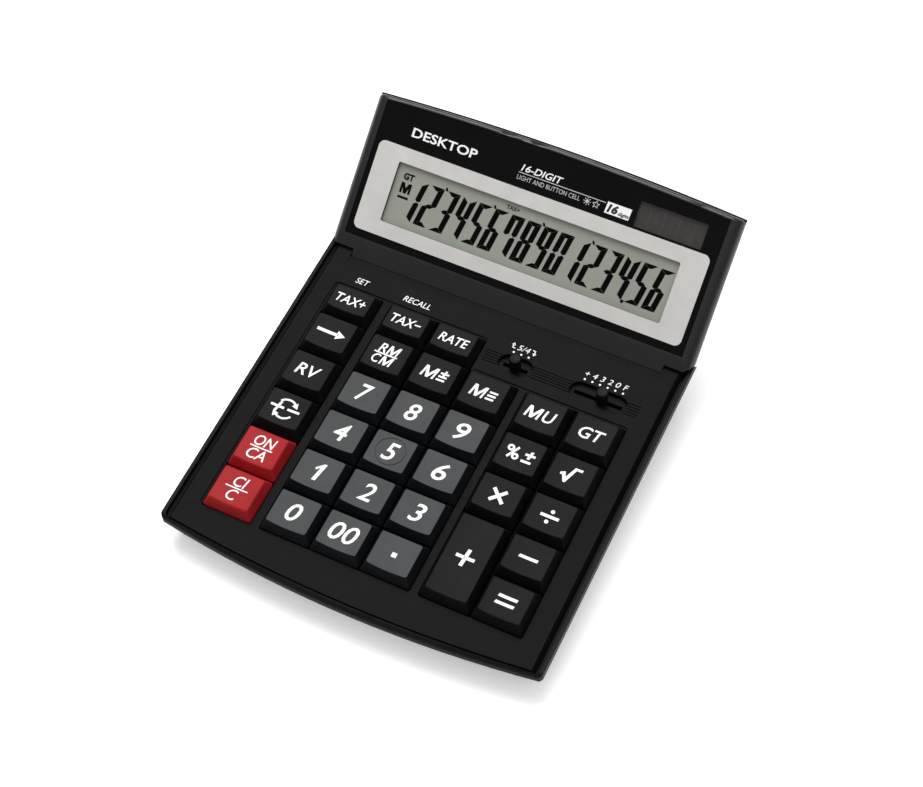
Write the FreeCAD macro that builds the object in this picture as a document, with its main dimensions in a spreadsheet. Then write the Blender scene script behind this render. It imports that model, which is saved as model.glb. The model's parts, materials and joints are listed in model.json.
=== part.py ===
import FreeCAD, Part
import math
import os

# Desk calculator whose display head tilts up from a low keyboard case.
#
# Three frames are used, all with x to the right:
#   floor frame  y to the rear, z up, origin on the table below the hinge
#   deck frame   y to the rear along the sloping keyboard, z square to it, origin on the deck
#                surface above the hinge axis
#   head frame   y up the display face, z out of the face, origin on the hinge axis
# The model stands on z = 0 with the middle of its bounding box over the origin.

SIZES = {
    # where the frames stand
    "deck_slope": 4.0,
    "face_slope": 42.5,
    "hinge_y": 44.48,
    "deck_height_at_hinge": 25.24,
    "hinge_depth": 7.3,
    # case
    "case_half_width": 75.9,
    "case_front": 140.7,
    "case_rear": 3.9,
    "case_wall": 2.2,
    "floor_thickness": 1.8,
    "floor_clearance": 1.5,
    "rim_drop": 0.6,
    "rim_width": 1.4,
    "side_taper": 20.0,
    "front_arc_radius": 500.0,
    "corner_radius": 2.5,
    "nose_round": 2.2,
    "chin_level": 4.8,
    "chin_round": 2.0,
    "chin_angle": 37.3,
    # top cover
    "cover_front": 138.2,
    "cover_half_width": 71.6,
    "cover_bevel": 1.6,
    "cover_plate": 2.2,
    "cover_flange": 2.6,
    "cover_depth": 4.6,
    "cover_gap": 0.1,
    "front_gap": 0.45,
    "well_recess": 0.5,
    "well_margin": 1.35,
    "well_clearance": 0.45,
    "notch_front": 4.0,
    "cover_arc_radius": 600.0,
    "ear_inside": 65.7,
    "ear_half_width": 72.8,
    # hinge
    "barrel_radius": 7.0,
    "barrel_half_length": 65.4,
    "barrel_clearance": 0.35,
    "trough_wall": 1.6,
    "pin_radius": 2.6,
    "pin_bore": 1.9,
    "pin_fit": 0.05,
    "lug_clearance": 1.5,
    # head
    "face_height": 7.95,
    "ridge_y": 9.0,
    "head_length": 67.3,
    "rear_reach": 0.6,
    "head_arc_radius": 1200.0,
    "head_wall": 1.8,
    "head_back_at_top": 0.8,
    "head_split": 2.7,
    "side_round": 4.8,
    "top_round": 1.5,
    "back_round": 2.0,
    "back_taper": 20.0,
    "panel_half_width": 71.0,
    "panel_thickness": 1.2,
    "panel_recess": 0.35,
    "panel_inset": 1.4,
    "trim_width": 137.4,
    "trim_depth": 35.8,
    "trim_thickness": 0.2,
    "trim_y": 12.8,
    "window_width": 117.2,
    "window_depth": 24.1,
    "window_y": 18.6,
    "solar_width": 27.4,
    "solar_depth": 9.9,
    "solar_x": 50.1,
    "solar_y": 49.5,
    "lcd_thickness": 2.2,
    "lcd_margin": 2.4,
    "board_thickness": 1.2,
    # keys
    "key_rise": 4.15,
    "key_base_width": 19.5,
    "key_base_depth": 17.8,
    "key_top_width": 16.0,
    "key_top_depth": 13.6,
    "short_base_depth": 14.0,
    "short_top_depth": 9.9,
    "row_pitch": 18.5,
    "key_skirt": 3.0,
    "key_corner": 1.0,
    "dish_radius": 65.0,
    "dish_depth": 0.5,
    "key_wall": 1.2,
    "plunger_width": 8.4,
    "plunger_depth": 7.4,
    "plunger_foot": 1.6,
    "key_travel": 2.0,
    "dome_gap": 0.2,
    "number_edge": 0.3,
    "function_edge": 0.45,
    "clear_edge": 0.9,
    "five_ring_radius": 5.9,
    "five_ring_width": 0.4,
    "five_ring_depth": 0.25,
    # switches
    "switch_y": 23.55,
    "slot_depth": 8.1,
    "slot_recess": 1.8,
    "round_slot_width": 13.9,
    "decimal_slot_width": 23.0,
    "slit_depth": 1.7,
    "knob_radius": 2.25,
    "knob_rise": 5.2,
    "knob_edge": 0.6,
    "neck_width": 3.0,
    "neck_depth": 1.2,
    "switch_pitch": 3.1,
    # keyboard stack, below the deck
    "guide_top": 5.3,
    "guide_thickness": 1.2,
    "dome_top": 9.8,
    "dome_sheet_top": 10.3,
    "board_top": 11.0,
    "stack_half_width": 65.6,
    "stack_front": 126.3,
    "stack_rear": 17.0,
    # small parts
    "screw_radius": 1.2,
    "screw_head_radius": 2.4,
    "screw_head_height": 1.6,
    "screw_sink": 0.4,
    "front_screw_seat": 10.6,
    "screw_boss_radius": 2.9,
    "board_screw_radius": 0.9,
    "foot_radius": 5.0,
    "foot_height": 2.0,
    "cell_radius": 10.0,
    "cell_height": 3.2,
    "door_width": 34.0,
    "door_depth": 27.0,
}

doc = FreeCAD.newDocument("desk_calculator")
sheet = doc.addObject("Spreadsheet::Sheet", "sizes")
for row, (alias, number) in enumerate(SIZES.items(), start=1):
    sheet.set(f"A{row}", alias)
    sheet.set(f"B{row}", str(number))
    sheet.setAlias(f"B{row}", alias)
doc.recompute()

nodes = []


def size(alias):
    """A driving dimension, read from the sheet."""
    return float(getattr(sheet, alias))


def vector(x, y, z):
    return FreeCAD.Vector(x, y, z)


def shift(x, y, z):
    return FreeCAD.Placement(vector(x, y, z), FreeCAD.Rotation())


def turn(axis, degrees):
    return FreeCAD.Placement(vector(0, 0, 0), FreeCAD.Rotation(vector(*axis), degrees))


SLOPE = math.radians(size("deck_slope"))
FLOOR_FRAME = shift(0, size("hinge_y"), 0)
DECK_FRAME = shift(0, size("hinge_y"), size("deck_height_at_hinge")) * turn((1, 0, 0), size("deck_slope"))
HINGE = DECK_FRAME.multVec(vector(0, 0, -size("hinge_depth")))
HEAD_FRAME = shift(HINGE.x, HINGE.y, HINGE.z) * turn((1, 0, 0), size("face_slope"))
FLOOR_IN_DECK = DECK_FRAME.inverse() * FLOOR_FRAME

# How a flat outline stands before it is extruded: seen from the right (y, z), the front (x, z)
# or above (x, y).
SIDE_VIEW = FreeCAD.Placement(vector(0, 0, 0), FreeCAD.Rotation(vector(1, 1, 1), 120))
FRONT_VIEW = turn((1, 0, 0), 90)
PLAN_VIEW = shift(0, 0, 0)
ALONG_X = turn((0, 1, 0), 90)
ALONG_Y = turn((1, 0, 0), -90)


def bind(item, **expressions):
    for name, expression in expressions.items():
        item.setExpression(name, expression)


def box(name, lengths, corner, frame=PLAN_VIEW):
    """A block; lengths are three expressions and corner its lowest point."""
    item = doc.addObject("Part::Box", name)
    bind(item, Length=lengths[0], Width=lengths[1], Height=lengths[2])
    item.Placement = frame * shift(*corner)
    return item


def cylinder(name, radius, height, placement):
    item = doc.addObject("Part::Cylinder", name)
    bind(item, Radius=radius, Height=height)
    item.Placement = placement
    return item


def outline(corners):
    """Edges of a polygon whose corners are (x, y, radius); radius 0 leaves a sharp corner."""
    starts, ends, arcs = [], [], []
    count = len(corners)
    for index, (x, y, radius) in enumerate(corners):
        here = vector(x, y, 0)
        before = vector(*corners[index - 1][:2], 0)
        after = vector(*corners[(index + 1) % count][:2], 0)
        back = (before - here).normalize()
        ahead = (after - here).normalize()
        if radius <= 0:
            starts.append(here)
            ends.append(here)
            arcs.append(None)
            continue
        half = back.getAngle(ahead) / 2
        reach = radius / math.tan(half)
        centre = here + (back + ahead).normalize() * (radius / math.sin(half))
        middle = centre + (here - centre).normalize() * radius
        starts.append(here + back * reach)
        ends.append(here + ahead * reach)
        arcs.append(Part.Arc(starts[-1], middle, ends[-1]))
    edges = []
    for index in range(count):
        if arcs[index] is not None:
            edges.append(arcs[index])
        after = starts[(index + 1) % count]
        if (after - ends[index]).Length > 1e-6:
            edges.append(Part.LineSegment(ends[index], after))
    return edges


def prism(name, view, edges, forward, backward="0"):
    """A sketch of the edges, extruded square to its view."""
    sketch = doc.addObject("Sketcher::SketchObject", name + "_sketch")
    sketch.Placement = view
    sketch.addGeometry(edges, False)
    item = doc.addObject("Part::Extrusion", name)
    item.Base = sketch
    item.DirMode = "Normal"
    item.Solid = True
    bind(item, LengthFwd=forward, LengthRev=backward)
    return item


def fuse(name, parts):
    item = doc.addObject("Part::MultiFuse", name)
    item.Shapes = parts
    return item


def common(name, parts):
    item = doc.addObject("Part::MultiCommon", name)
    item.Shapes = parts
    return item


def group(name, parts):
    item = doc.addObject("Part::Compound", name)
    item.Links = parts
    return item


def cut(name, base, tools):
    """The base with every tool taken away."""
    tool = tools[0] if len(tools) == 1 else group(name + "_tools", tools)
    item = doc.addObject("Part::Cut", name)
    item.Base = base
    item.Tool = tool
    return item


def soften(name, base, radius, wanted):
    """Round every edge of the base that wanted(edge) accepts."""
    doc.recompute()
    item = doc.addObject("Part::Fillet", name)
    item.Base = base
    edges = base.Shape.Edges
    item.Edges = [(index, radius, radius) for index, edge in enumerate(edges, start=1) if wanted(edge)]
    return item


def finish(item, name, frame):
    """Make the item a node of the model: a name of its own and its place in the model's frame."""
    doc.recompute()
    item.Label = name
    item.Placement = frame
    nodes.append(item)


def floor_level(y, height):
    """Deck-frame z of the point at y that stands at this height over the table."""
    return (height - size("deck_height_at_hinge") - y * math.sin(SLOPE)) / math.cos(SLOPE)


def bowed_outline(half_width, bowed, straight, radius):
    """Plan outline with a bulging arc across y = bowed and a straight edge across y = straight."""
    sag = radius - math.sqrt(radius ** 2 - half_width ** 2)
    shoulder = bowed + math.copysign(sag, straight - bowed)
    near_left = vector(-half_width, shoulder, 0)
    near_right = vector(half_width, shoulder, 0)
    far_left = vector(-half_width, straight, 0)
    far_right = vector(half_width, straight, 0)
    return [
        Part.Arc(near_left, vector(0, bowed, 0), near_right),
        Part.LineSegment(near_right, far_right),
        Part.LineSegment(far_right, far_left),
        Part.LineSegment(far_left, near_left),
    ]


def upright_edge(edge):
    """True for a straight edge that runs along z."""
    return abs(edge.tangentAt(edge.FirstParameter).z) > 0.999


# ---------------------------------------------------------------- bottom case

REACH = 200.0
DOOR_LEFT, DOOR_FRONT = -47.0, -62.0
LUG_REAR = -size("hinge_depth") - math.sqrt(size("hinge_depth") ** 2 - size("case_rear") ** 2)


def revolve(name, edges, y):
    """A side-view sketch swept about an upright axis at y, wide enough for the whole front."""
    sketch = doc.addObject("Sketcher::SketchObject", name + "_sketch")
    sketch.Placement = SIDE_VIEW
    sketch.addGeometry(edges, False)
    item = doc.addObject("Part::Revolution", name)
    item.Source = sketch
    item.Axis = (0, 0, 1)
    item.Base = (0, y, 0)
    item.Angle = 30
    item.Symmetric = True
    item.Solid = True
    return item


def tapered_plan(name, half_width, front):
    """Upright sides down to the chin level and tapered below it, with rounded front corners.

    Between the corners the outline runs to a point ahead of the bowed front, so the nose alone
    shapes the front there.
    """
    level = -size("chin_level")
    deep = 30.0

    def around(drop):
        half = half_width - drop * math.tan(math.radians(size("side_taper")))
        radius = size("front_arc_radius") - drop * math.tan(math.radians(size("chin_angle")))
        corner = front + size("front_arc_radius") - math.sqrt(radius ** 2 - half ** 2) + 0.13
        point = corner - half * math.tan(math.radians(14))
        turn_in = size("corner_radius")
        return outline([
            (-half, 30, 0), (half, 30, 0), (half, corner, turn_in),
            (0, point, 0), (-half, corner, turn_in),
        ])

    upper = prism(name + "_upper", PLAN_VIEW, around(0), "10", "sizes.chin_level")
    sections = []
    for drop in (0, deep):
        sketch = doc.addObject("Sketcher::SketchObject", f"{name}_level_{int(drop)}")
        sketch.Placement = shift(0, 0, level - drop)
        sketch.addGeometry(around(drop), False)
        sections.append(sketch)
    lower = doc.addObject("Part::Loft", name + "_lower")
    lower.Sections = sections
    lower.Solid = True
    lower.Ruled = True
    return fuse(name, [upper, lower])


def hull(name, inset, top):
    """The case's outside shape, or its inside when inset is the wall thickness."""
    front = -size("case_front") + inset
    rear = size("case_rear") - inset
    height = size("floor_clearance") + (size("floor_thickness") if inset else 0)
    level = -size("chin_level")
    side = prism(name + "_side", SIDE_VIEW, outline([
        (front - 5, top, 0),
        (front - 5, floor_level(front - 5, height), 0),
        (rear, floor_level(rear, height), 1.5),
        (rear, LUG_REAR, 0),
        (0, LUG_REAR, 0),
        (0, top, 0),
    ]), str(REACH / 2), str(REACH / 2))
    profile = side
    if not inset:
        lug = cylinder(name + "_lug", "sizes.hinge_depth", str(REACH),
                       shift(-REACH / 2, 0, -size("hinge_depth")) * ALONG_X)
        trim = box(name + "_lug_trim", [str(REACH), "40", "40"], (-REACH / 2, -20, -40 + top))
        profile = fuse(name + "_profile", [side, common(name + "_round_lug", [lug, trim])])
    back = front + 30 * math.tan(math.radians(size("chin_angle")))
    nose = revolve(name + "_nose", outline([
        (front, top, 0 if inset else size("nose_round")),
        (front, level, size("chin_round")),
        (back, level - 30, 0),
        (30, level - 30, 0),
        (30, top, 0),
    ]), front + size("front_arc_radius"))
    return common(name, [profile, nose, tapered_plan(name + "_plan", size("case_half_width") - inset, front)])


def cover_solid(name, gap, front_gap):
    """The top cover's envelope without its openings, grown by gaps for its seat in the case."""
    flange_half = size("case_half_width") - size("rim_width") - size("cover_gap") + gap
    ear_half = size("ear_half_width") + gap
    front = -size("cover_front") - front_gap
    depth = size("cover_depth") + gap
    hinge = size("hinge_depth")
    plate = prism(name + "_plate", PLAN_VIEW,
                  bowed_outline(flange_half, front, 0, size("cover_arc_radius")),
                  str(4 * gap), str(depth))
    corners = soften(name + "_corners", plate, size("corner_radius"),
                     lambda edge: upright_edge(edge) and edge.CenterOfMass.y < -size("switch_y"))
    pieces = [corners]
    for label, half, low in (("shoulder", flange_half, depth), ("ear", ear_half, hinge)):
        lug = cylinder(f"{name}_{label}_lug", "sizes.hinge_depth", str(2 * half),
                       shift(-half, 0, -hinge) * ALONG_X)
        block = box(f"{name}_{label}_block", [str(2 * half), "30", str(low)], (-half, -9, -low))
        pieces.append(common(f"{name}_{label}_round", [lug, block]))
    pieces.append(box(name + "_ear_front", [str(2 * ear_half), "9", "sizes.hinge_depth"],
                      (-ear_half, -9, -hinge)))
    return fuse(name, pieces)


def barrel_room(name, radius):
    """Everything between the ears that the barrel and the head sweep through."""
    half = size("ear_inside")
    hinge = -size("hinge_depth")
    return [
        cylinder(name + "_round", str(radius), str(2 * half), shift(-half, 0, hinge) * ALONG_X),
        box(name + "_rear", [str(2 * half), "30", "30"], (-half, 0, hinge - radius - 0.2)),
    ]


def case_screw_places():
    return [(side * 60, y) for side in (-1, 1) for y in (-130.2, -13.0)]


def make_bottom_case():
    outer = hull("case_outer", 0, -size("rim_drop"))
    inner = hull("case_inner", size("case_wall"), 5)
    shell = cut("case_shell", outer, [inner])
    clearance = size("barrel_radius") + size("barrel_clearance")
    trough = cylinder("case_trough_round",
                      "sizes.barrel_radius + sizes.barrel_clearance + sizes.trough_wall",
                      str(REACH), shift(-REACH / 2, 0, -size("hinge_depth")) * ALONG_X)
    trough_body = common("case_trough", [trough, hull("case_trough_limit", 0, -size("rim_drop"))])
    bosses = []
    for number, (x, y) in enumerate(case_screw_places()):
        bosses.append(cylinder(f"case_boss_{number}", "sizes.screw_boss_radius", "30", shift(x, y, -37.05)))
    posts = common("case_posts", [group("case_boss_group", bosses), hull("case_boss_limit", 0, -7.05)])
    solid = fuse("case_solid", [shell, trough_body, posts])
    seat = cover_solid("case_seat", size("cover_gap"), size("front_gap"))
    half = size("ear_inside")
    opening = box("case_notch", [str(2 * half), "40", "10"], (-half, -20, -2.5))
    tools = [seat, opening] + barrel_room("case_barrel_room", clearance)
    for number, (x, y) in enumerate(case_screw_places()):
        tools.append(case_screw(f"case_screw_room_{number}", x, y, size("cover_gap")))
    pins = cylinder("case_pin_room", "sizes.pin_radius", str(2 * 73.0),
                    shift(-73.0, 0, -size("hinge_depth")) * ALONG_X)
    tools.append(pins)
    tools.append(harness_room("case_harness_room"))
    door = box("case_door_room", ["sizes.door_width", "sizes.door_depth", "4"],
               (DOOR_LEFT, DOOR_FRONT, 1.0), FLOOR_IN_DECK)
    tools.append(door)
    for number, (x, y) in enumerate(foot_places()):
        tools.append(cylinder(f"case_foot_room_{number}", "sizes.foot_radius", "sizes.foot_height",
                              FLOOR_IN_DECK * shift(x, y, 0)))
    finish(cut("bottom_case_body", solid, tools), "bottom_case", DECK_FRAME)


def foot_places():
    return [(side * 52, y) for side in (-1, 1) for y in (-122, -6.5)]


def harness_room(name):
    """A round passage from the hollow left pin forwards through the ear into the case."""
    radius = size("pin_bore") + size("pin_fit")
    return cylinder(name, str(radius), "14",
                    shift(-70.5, 0, -size("hinge_depth")) * turn((1, 0, 0), 90))


def case_screw(name, x, y, gap):
    """A screw square to the deck, with its tip in the cover.

    At the rear its head is sunk in the case floor. At the front, where the chin slopes up, it sits
    deeper, at the end of a round hole.
    """
    seat = floor_level(y, size("floor_clearance")) + size("screw_sink")
    if y < -size("stack_front"):
        seat = -size("front_screw_seat")
    shaft = cylinder(name + "_shaft", str(size("screw_radius") + gap / 2), str(-4.2 - seat),
                     shift(x, y, seat + 1))
    head = cylinder(name + "_head", str(size("screw_head_radius") + gap),
                    str(size("screw_head_height") + gap), shift(x, y, seat))
    pocket = cylinder(name + "_pocket", str(size("screw_head_radius") + gap), "6", shift(x, y, seat - 5))
    return fuse(name, [shaft, head] + ([pocket] if gap else []))


# ---------------------------------------------------------------- keys: where each one stands

COLUMNS = [-54.0, -30.4, -10.2, 10.0, 33.3, 53.6]
ROW_TWO_Y = -59.9
ROW_ZERO_Y = -24.95
NUMBER, FUNCTION, CLEAR = "number", "function", "clear"


def row_y(row):
    """Middle of a key row; row 0 is the short row nearest the display."""
    return ROW_ZERO_Y if row == 0 else ROW_TWO_Y - (row - 2) * size("row_pitch")


KEYS = [
    ("key_tax_plus", 0, 0, FUNCTION), ("key_tax_minus", 1, 0, FUNCTION), ("key_rate", 2, 0, FUNCTION),
    ("key_shift_right", 0, 1, FUNCTION), ("key_memory_recall", 1, 1, FUNCTION),
    ("key_memory_plus", 2, 1, FUNCTION), ("key_memory_minus", 3, 1, FUNCTION),
    ("key_mark_up", 4, 1, FUNCTION), ("key_grand_total", 5, 1, FUNCTION),
    ("key_reverse", 0, 2, FUNCTION), ("key_7", 1, 2, NUMBER), ("key_8", 2, 2, NUMBER),
    ("key_9", 3, 2, NUMBER), ("key_percent", 4, 2, FUNCTION), ("key_square_root", 5, 2, FUNCTION),
    ("key_sign_change", 0, 3, FUNCTION), ("key_4", 1, 3, NUMBER), ("key_5", 2, 3, NUMBER),
    ("key_6", 3, 3, NUMBER), ("key_multiply", 4, 3, FUNCTION), ("key_divide", 5, 3, FUNCTION),
    ("key_on_clear_all", 0, 4, CLEAR), ("key_1", 1, 4, NUMBER), ("key_2", 2, 4, NUMBER),
    ("key_3", 3, 4, NUMBER), ("key_plus", 4, 4, FUNCTION), ("key_minus", 5, 4, FUNCTION),
    ("key_clear", 0, 5, CLEAR), ("key_0", 1, 5, NUMBER), ("key_00", 2, 5, NUMBER),
    ("key_point", 3, 5, NUMBER), ("key_equals", 5, 5, FUNCTION),
]


def key_place(column, row, name):
    """Middle of a key on the deck and the depths of its base and top."""
    y = row_y(row)
    if row == 0:
        return COLUMNS[column], y, size("short_base_depth"), size("short_top_depth")
    if name == "key_plus":
        extra = size("row_pitch")
        return COLUMNS[column], y - extra / 2, size("key_base_depth") + extra, size("key_top_depth") + extra
    return COLUMNS[column], y, size("key_base_depth"), size("key_top_depth")


def make_key(name, column, row, kind):
    x, y, base_depth, top_depth = key_place(column, row, name)
    rise, wall = size("key_rise"), size("key_wall")
    base_half, top_half = size("key_base_width") / 2, size("key_top_width") / 2
    upright = turn((1, 0, 0), 90)

    def taper(label, base_x, base_y, top_x, top_y, height):
        item = doc.addObject("Part::Wedge", f"{name}_{label}")
        item.Xmin, item.Xmax, item.Zmin, item.Zmax = -base_x, base_x, -base_y, base_y
        item.X2min, item.X2max, item.Z2min, item.Z2max = -top_x, top_x, -top_y, top_y
        item.Ymin = 0
        bind(item, Ymax=height)
        item.Placement = upright
        return item

    cap = taper("cap", base_half, base_depth / 2, top_half, top_depth / 2, "sizes.key_rise")
    bind(cap, Xmin="-sizes.key_base_width / 2", Xmax="sizes.key_base_width / 2",
         X2min="-sizes.key_top_width / 2", X2max="sizes.key_top_width / 2")
    cap_round = soften(f"{name}_cap_round", cap, size("key_corner"),
                       lambda edge: edge.BoundBox.ZLength > rise / 2)
    dish = cylinder(f"{name}_dish", "sizes.dish_radius", str(2 * base_depth),
                    shift(0, -base_depth, rise - size("dish_depth") + size("dish_radius")) * ALONG_Y)
    dished = cut(f"{name}_dished", cap_round, [dish])
    edge_radius = size(f"{kind}_edge")
    edged = soften(f"{name}_edged", dished, edge_radius,
                   lambda edge: edge.CenterOfMass.z > rise - size("dish_depth") - 0.2
                   and edge.BoundBox.ZLength < size("dish_depth") + 0.2)
    skirt = box(f"{name}_skirt", ["sizes.key_base_width", str(base_depth), "sizes.key_skirt"],
                (-base_half, -base_depth / 2, -size("key_skirt")))
    skirt_round = soften(f"{name}_skirt_round", skirt, size("key_corner"), upright_edge)
    roof = rise - size("dish_depth") - wall
    shrink = (base_half - top_half) * roof / rise
    hollow = taper("hollow", base_half - wall, base_depth / 2 - wall,
                   base_half - wall - shrink, base_depth / 2 - wall - shrink, str(roof))
    hollow_skirt = box(f"{name}_hollow_skirt",
                       ["sizes.key_base_width - 2 * sizes.key_wall", str(base_depth - 2 * wall),
                        "sizes.key_skirt"],
                       (-base_half + wall, -base_depth / 2 + wall, -size("key_skirt")))
    shell = cut(f"{name}_shell", fuse(f"{name}_outside", [edged, skirt_round]), [hollow, hollow_skirt])
    reach = size("dome_top") - size("key_travel") - size("dome_gap")
    stem = box(f"{name}_stem",
               ["sizes.plunger_width", "sizes.plunger_depth",
                f"sizes.dome_top - sizes.key_travel - sizes.dome_gap + {roof + 0.2}"],
               (-size("plunger_width") / 2, -size("plunger_depth") / 2, -reach))
    foot = box(f"{name}_foot",
               ["sizes.plunger_width + sizes.plunger_foot",
                "sizes.plunger_depth + sizes.plunger_foot", "0.8"],
               (-(size("plunger_width") + size("plunger_foot")) / 2,
                -(size("plunger_depth") + size("plunger_foot")) / 2, -reach))
    key = fuse(f"{name}_body", [shell, stem, foot])
    if name == "key_5":
        key = cut(f"{name}_ringed", key, [five_ring(rise)])
    finish(key, name, DECK_FRAME * shift(x, y, 0))


def five_ring(rise):
    """A shallow round groove that follows the dished top."""
    floor_curve = cylinder("five_ring_floor", "sizes.dish_radius + sizes.five_ring_depth", "40",
                           shift(0, -20, rise - size("dish_depth") + size("dish_radius")) * ALONG_Y)
    outer = cylinder("five_ring_outer", "sizes.five_ring_radius", "6", shift(0, 0, 1.5))
    inner = cylinder("five_ring_inner", "sizes.five_ring_radius - sizes.five_ring_width", "6",
                     shift(0, 0, 1.5))
    return common("five_ring", [cut("five_ring_tube", outer, [inner]), floor_curve])


# ---------------------------------------------------------------- top cover

def well_edges(margin, radius):
    """Stepped outline round all the keys, standing out from their bases by the margin."""
    half = size("key_base_width") / 2 + margin
    left, right = COLUMNS[0] - half, COLUMNS[5] + half
    step = COLUMNS[2] + half
    front = row_y(5) - size("key_base_depth") / 2 - margin
    shoulder = row_y(1) + size("key_base_depth") / 2 + margin
    rear = row_y(0) + size("short_base_depth") / 2 + margin
    return outline([
        (left, front, radius), (right, front, radius), (right, shoulder, radius),
        (step, shoulder, 0), (step, rear, radius), (left, rear, radius),
    ])


def key_opening(name, first, last, rows, step_column=None):
    """Opening round a block of columns; columns past step_column stop at row 1."""
    clear = size("well_clearance")
    half = size("key_base_width") / 2 + clear
    front = row_y(5) - size("key_base_depth") / 2 - clear
    depth = size("short_base_depth") if rows == 0 else size("key_base_depth")
    rear = row_y(rows) + depth / 2 + clear
    corners = [(COLUMNS[first] - half, front, 1), (COLUMNS[last] + half, front, 1)]
    if step_column is not None:
        shoulder = row_y(1) + size("key_base_depth") / 2 + clear
        corners += [(COLUMNS[last] + half, shoulder, 1), (COLUMNS[step_column] + half, shoulder, 0)]
        corners += [(COLUMNS[step_column] + half, rear, 1)]
    else:
        corners += [(COLUMNS[last] + half, rear, 1)]
    corners += [(COLUMNS[first] - half, rear, 1)]
    return prism(name, PLAN_VIEW, outline(corners), "4", "10")


def stadium(name, x, width, depth, forward, backward):
    half, radius = width / 2, depth / 2
    y = -size("switch_y")
    left, right = x - half, x + half
    return prism(name, PLAN_VIEW, outline([
        (left, y - radius, radius * 0.999), (right, y - radius, radius * 0.999),
        (right, y + radius, radius * 0.999), (left, y + radius, radius * 0.999),
    ]), str(forward), str(backward))


# Name, slot middle, slot width alias, knob middle, steps to the left and right of the knob.
SWITCHES = [
    ("rounding", 14.6, "round_slot_width", 14.6, 1, 1),
    ("decimal", 48.5, "decimal_slot_width", 50.05, 3, 2),
]


def make_top_cover():
    envelope = cover_solid("cover_envelope", 0, 0)
    half = size("cover_half_width")
    bevel = size("cover_bevel")
    flange = size("case_half_width") - size("rim_width") - size("cover_gap")
    drop = size("cover_flange")
    sides = prism("cover_section", FRONT_VIEW, outline([
        (-half, 1, 0), (-half, 0, 0), (-half - bevel, -drop, 0), (-flange, -drop, 0), (-flange, -12, 0),
        (flange, -12, 0), (flange, -drop, 0), (half + bevel, -drop, 0), (half, 0, 0), (half, 1, 0),
    ]), str(REACH), "20")
    shape = common("cover_shape", [envelope, sides])
    inside_front = -size("cover_front") + 2.4
    inside = prism("cover_inside_plan", PLAN_VIEW,
                   bowed_outline(half - 0.2, inside_front, -9.1, size("cover_arc_radius")), "0", "12")
    inside_low = box("cover_inside_low", [str(REACH), str(REACH), "10"],
                     (-REACH / 2, -REACH, -10 - size("cover_plate")))
    tray = cut("cover_tray", shape, [common("cover_inside", [inside, inside_low])])
    fittings = []
    for number, (x, y) in enumerate(case_screw_places()):
        fittings.append(cylinder(f"cover_boss_{number}", "2.9", "5.3", shift(x, y, -7.0)))
    for number, (x, y) in enumerate(board_screw_places()):
        fittings.append(cylinder(f"cover_post_{number}", "1.7", "sizes.guide_top - 1.7",
                                 shift(x, y, -size("guide_top"))))
    for label, x, width, *_ in SWITCHES:
        boss_front = -size("switch_y") - size("slot_depth") / 2 - 1.3
        fittings.append(box(f"cover_{label}_boss", [f"sizes.{width} + 3", "sizes.slot_depth + 2.6", "3.2"],
                            (x - size(width) / 2 - 1.5, boss_front, -4.4)))
    solid = fuse("cover_solid", [tray] + fittings)
    tools = [
        prism("cover_well", PLAN_VIEW, well_edges(size("well_margin"), 2.2), "3", "sizes.well_recess"),
        key_opening("cover_left_opening", 0, 0, 0),
        key_opening("cover_middle_opening", 1, 3, 0, 2),
        key_opening("cover_right_opening", 4, 5, 1),
    ]
    ear = size("ear_inside")
    clearance = size("barrel_radius") + size("barrel_clearance")
    tools.append(box("cover_notch", [str(2 * ear), "30", "20"], (-ear, -size("notch_front"), -12)))
    tools += barrel_room("cover_barrel_room", clearance)
    crease = prism("cover_crease", SIDE_VIEW, outline([
        (-size("notch_front") - 2.6, 0, 0), (2, -0.75, 0), (2, 3, 0), (-size("notch_front") - 2.6, 3, 0),
    ]), str(ear), str(ear))
    tools.append(crease)
    for label, x, width, knob, left, right in SWITCHES:
        pitch, neck = size("switch_pitch"), size("neck_width")
        slit_left = knob - left * pitch - neck / 2 - 0.4
        slit_right = knob + right * pitch + neck / 2 + 0.4
        tools.append(stadium(f"cover_{label}_slot", x, size(width), size("slot_depth"), 2,
                             size("slot_recess")))
        tools.append(box(f"cover_{label}_slit", [str(slit_right - slit_left), "sizes.slit_depth", "10"],
                         (slit_left, -size("switch_y") - size("slit_depth") / 2, -8)))
    strip_left = COLUMNS[2] + size("key_base_width") / 2 + 2.2
    strip_right = COLUMNS[5] + size("key_base_width") / 2 + 1.4
    for number in range(5):
        tools.append(box(f"cover_rib_groove_{number}", [str(strip_right - strip_left), "0.45", "1"],
                         (strip_left, -size("switch_y") - 2.4 + 1.2 * number - 0.22, -0.35)))
    for number, (x, y) in enumerate(case_screw_places()):
        tools.append(case_screw(f"cover_screw_room_{number}", x, y, 0))
    for number, (x, y) in enumerate(board_screw_places()):
        tools.append(cylinder(f"cover_post_hole_{number}", "sizes.board_screw_radius", "6",
                              shift(x, y, -7.5)))
    tools.append(cylinder("cover_pin_room", "sizes.pin_radius", str(2 * 73.0),
                          shift(-73.0, 0, -size("hinge_depth")) * ALONG_X))
    tools.append(harness_room("cover_harness_room"))
    finish(cut("top_cover_body", solid, tools), "top_cover", DECK_FRAME)


# ---------------------------------------------------------------- keyboard stack

def board_screw_places():
    return [(x, y) for x in (-42.2, 21.65) for y in (-50.65, -69.15, -87.65)]


def sheet_block(name, top, thickness):
    """A flat sheet of the keyboard stack."""
    return box(name, ["2 * sizes.stack_half_width", "sizes.stack_front - sizes.stack_rear", thickness],
               (-size("stack_half_width"), -size("stack_front"), top))


def screw_holes(name, radius):
    return [cylinder(f"{name}_{number}", str(radius), "30", shift(x, y, -25))
            for number, (x, y) in enumerate(board_screw_places())]


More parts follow.
